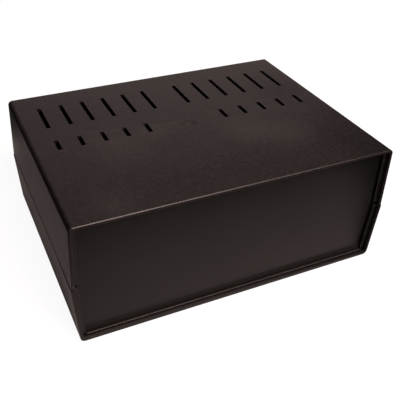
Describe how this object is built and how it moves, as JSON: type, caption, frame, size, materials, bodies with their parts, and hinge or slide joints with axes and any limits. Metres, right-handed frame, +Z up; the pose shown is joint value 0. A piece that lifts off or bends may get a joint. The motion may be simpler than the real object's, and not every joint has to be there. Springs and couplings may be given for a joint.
{
  "type": "instrument enclosure",
  "caption": "Black plastic instrument case of two screwed shells with slotted vents and plain recessed front and rear panels.",
  "frame": {"origin": "centre of the case on the table under its feet", "axes": "+X across the case to the right seen from the front, +Y from the front panel to the rear panel, +Z up"},
  "size_m": [0.262, 0.19, 0.1062],
  "materials": {
    "shell_plastic": "fine satin texture, warm black",
    "panel_plastic": "smooth satin, warm black",
    "screw_steel": "zinc plated",
    "foot_rubber": "matt"
  },
  "bodies": {
    "root": {"top_shell": "shell_plastic", "bottom_shell": "shell_plastic", "front_panel": "panel_plastic", "rear_panel": "panel_plastic", "case_screw_front_left": "screw_steel", "case_screw_front_right": "screw_steel", "case_screw_rear_left": "screw_steel", "case_screw_rear_right": "screw_steel", "foot_front_left": "foot_rubber", "foot_front_right": "foot_rubber", "foot_rear_left": "foot_rubber", "foot_rear_right": "foot_rubber"}
  },
  "joints": []
}
